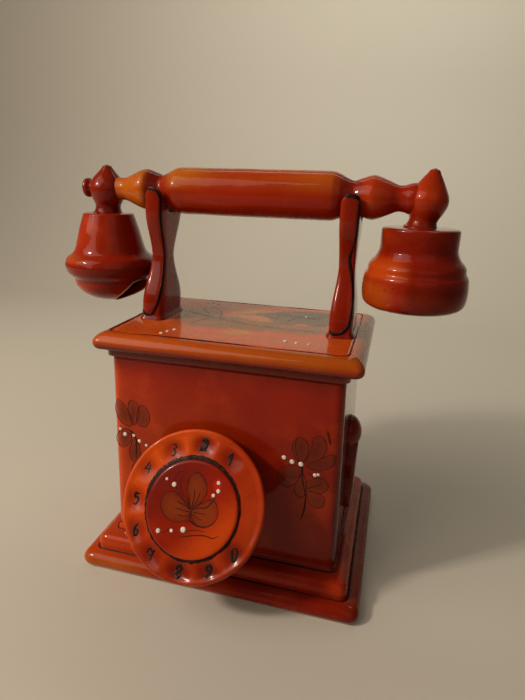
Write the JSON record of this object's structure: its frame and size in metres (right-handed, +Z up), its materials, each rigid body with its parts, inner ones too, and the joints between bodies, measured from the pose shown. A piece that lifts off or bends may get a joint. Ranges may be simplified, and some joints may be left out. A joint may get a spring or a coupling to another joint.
{
  "type": "ceramic ornament telephone",
  "caption": "Lidded ceramic box shaped like an antique table telephone, with a tilted dial, a side crank and a lift-off handset lying in two forked posts.",
  "frame": {"origin": "middle of the plinth's resting ring, on the surface it stands on", "axes": "+X towards the earpiece end of the handset, +Y towards the back, +Z up"},
  "size_m": [0.2563, 0.1723, 0.2518],
  "materials": {
    "orange_glaze": "high-gloss hand-painted orange-red glaze",
    "red_glaze": "high-gloss deep red glaze",
    "ochre_glaze": "high-gloss orange glaze shaded with ochre",
    "bare_biscuit": "unglazed biscuit with thin glaze runs"
  },
  "bodies": {
    "box": {"plinth": "orange_glaze", "body_shell": "orange_glaze", "dial_neck": "red_glaze", "dial_plate": "orange_glaze", "dial_middle": "orange_glaze", "crank_boss": "red_glaze", "crank_arm": "red_glaze"},
    "lid_and_cradle": {"lid": "ochre_glaze", "lid_locating_ring": "bare_biscuit", "cradle_post_left": "red_glaze", "cradle_post_right": "red_glaze"},
    "handset": {"handset_grip": "ochre_glaze", "mouthpiece_socket": "red_glaze", "mouthpiece_end_knob": "red_glaze", "mouthpiece_bell": "orange_glaze", "earpiece_socket": "orange_glaze", "earpiece_cup": "orange_glaze"}
  },
  "joints": [
    {"name": "lid_lift", "type": "slide", "parent": "box", "child": "lid_and_cradle", "axis": [0, 0, 1], "range_m": [0, 0.04]},
    {"name": "handset_lift", "type": "slide", "parent": "lid_and_cradle", "child": "handset", "axis": [0, 0, 1], "range_m": [0, 0.085]}
  ]
}
